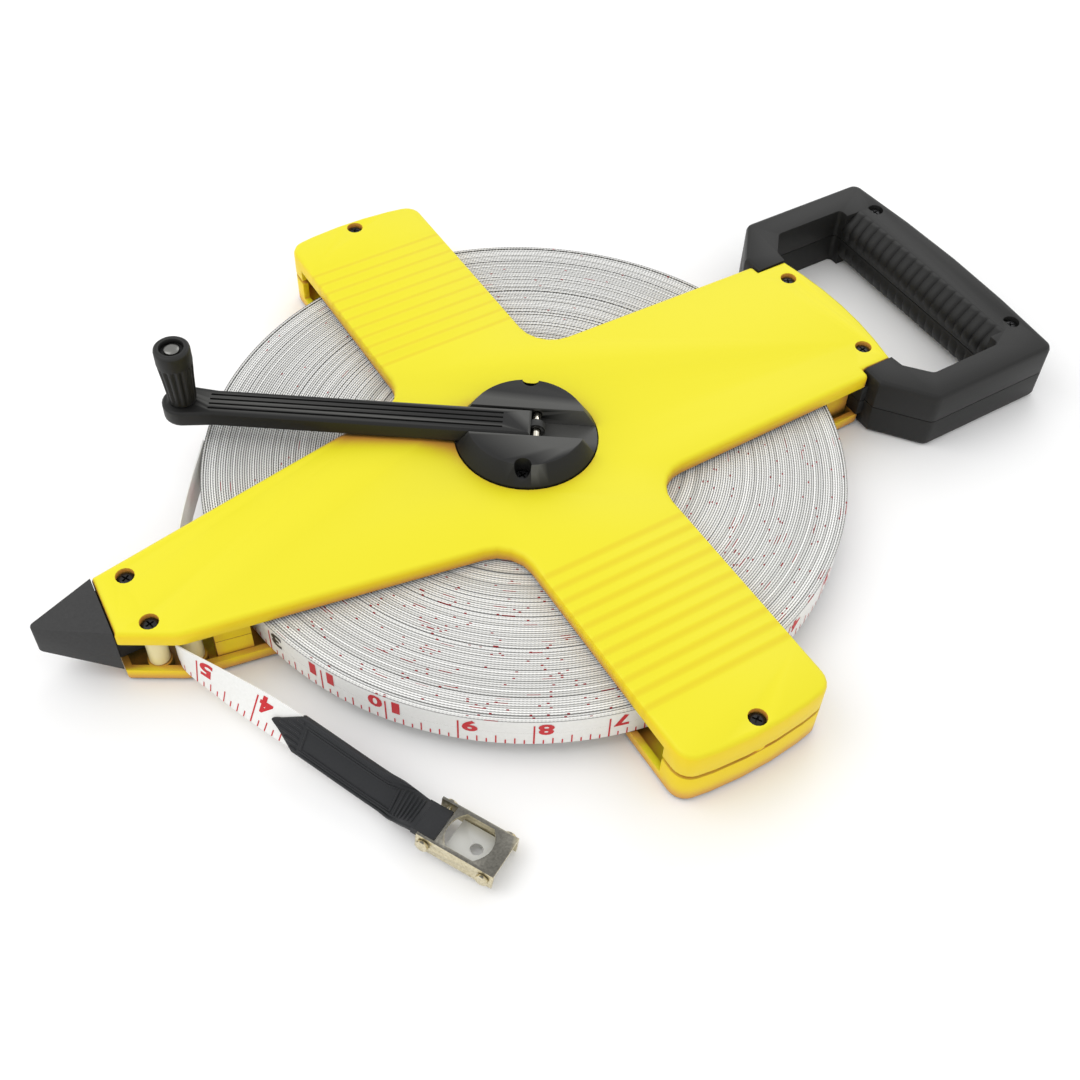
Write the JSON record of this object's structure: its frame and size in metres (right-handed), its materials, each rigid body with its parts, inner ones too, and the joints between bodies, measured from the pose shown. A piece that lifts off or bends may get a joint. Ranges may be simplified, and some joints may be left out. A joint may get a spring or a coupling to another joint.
{
  "type": "surveyor tape reel",
  "caption": "Open-frame tape reel: cross-shaped shells round a crank-wound drum of printed tape, with a hand grip, a pointed nose, a fold-over crank and a hook on the tape end.",
  "frame": {"origin": "on the drum axis, at the flat underside of the rear shell", "axes": "+Z out of the crank side along the drum axis, +X to the hand grip, -X to the nose where the tape comes out, +Y away from the side the tape leaves on"},
  "size_m": [0.4077, 0.3008, 0.0612],
  "materials": {
    "yellow_plastic": "moulded, satin gloss",
    "black_plastic": "moulded, fine texture",
    "grey_nose_plastic": "moulded, fine texture",
    "black_screw": "black oxide",
    "steel": "turned",
    "nylon": "natural nylon",
    "tape": "coated glass fibre, red print",
    "core_plastic": "natural moulding",
    "sleeve_plastic": "soft moulding",
    "nickel": "nickel plate"
  },
  "bodies": {
    "frame": {"front_shell": "yellow_plastic", "rear_shell": "yellow_plastic", "grip_front_half": "black_plastic", "grip_rear_half": "black_plastic", "nose_tip": "grey_nose_plastic", "nose_screw_far": "black_screw", "nose_screw_near": "black_screw", "tail_screw_far": "black_screw", "tail_screw_near": "black_screw", "arm_screw_far": "black_screw", "arm_screw_near": "black_screw", "grip_screw_far": "black_screw", "grip_screw_near": "black_screw", "side_roller_pin": "steel", "axle_bush": "steel", "axle_washer": "steel", "axle_screw": "steel", "tape_free_end": "tape", "end_sleeve": "sleeve_plastic", "hook_rivet_inner": "nickel"},
    "drum": {"drum_core": "core_plastic", "tape_coil": "tape", "crank_hub": "black_plastic", "hub_screw_far": "black_screw", "hub_screw_near": "black_screw", "crank_hinge_pin": "nickel"},
    "crank": {"crank_arm": "black_plastic", "knob_pin": "steel"},
    "knob": {"crank_knob": "black_plastic"},
    "nose_roller": {"nose_roller": "nylon"},
    "side_roller": {"side_roller": "nylon"},
    "hook": {"hook_frame": "nickel", "hook_rivet_outer": "nickel"},
    "claw": {"hook_claw": "nickel"}
  },
  "joints": [
    {"name": "drum_spin", "type": "hinge", "parent": "frame", "child": "drum", "pos_m": [0, 0, 0.013], "axis": [0, 0, 1], "continuous": true},
    {"name": "crank_fold", "type": "hinge", "parent": "drum", "child": "crank", "pos_m": [0.00296, -0.00205, 0.03155], "axis": [0.5707, 0.8211, 0], "range_deg": [0, 180]},
    {"name": "knob_spin", "type": "hinge", "parent": "crank", "child": "knob", "pos_m": [-0.10658, 0.07408, 0.044], "axis": [0, 0, 1], "continuous": true},
    {"name": "nose_roller_spin", "type": "hinge", "parent": "frame", "child": "nose_roller", "pos_m": [-0.1546, -0.0113, 0.0135], "axis": [0, 0, 1], "continuous": true},
    {"name": "side_roller_spin", "type": "hinge", "parent": "frame", "child": "side_roller", "pos_m": [-0.1438, -0.0158, 0.0135], "axis": [0, 0, 1], "continuous": true},
    {"name": "hook_swing", "type": "hinge", "parent": "frame", "child": "hook", "pos_m": [-0.10286, -0.11661, 0.00602], "axis": [-0.8663, -0.4885, 0.1044], "range_deg": [0, 90]},
    {"name": "claw_swing", "type": "hinge", "parent": "hook", "child": "claw", "pos_m": [-0.09223, -0.13572, 0.00485], "axis": [-0.8663, -0.4885, 0.1044], "range_deg": [0, 170]}
  ]
}
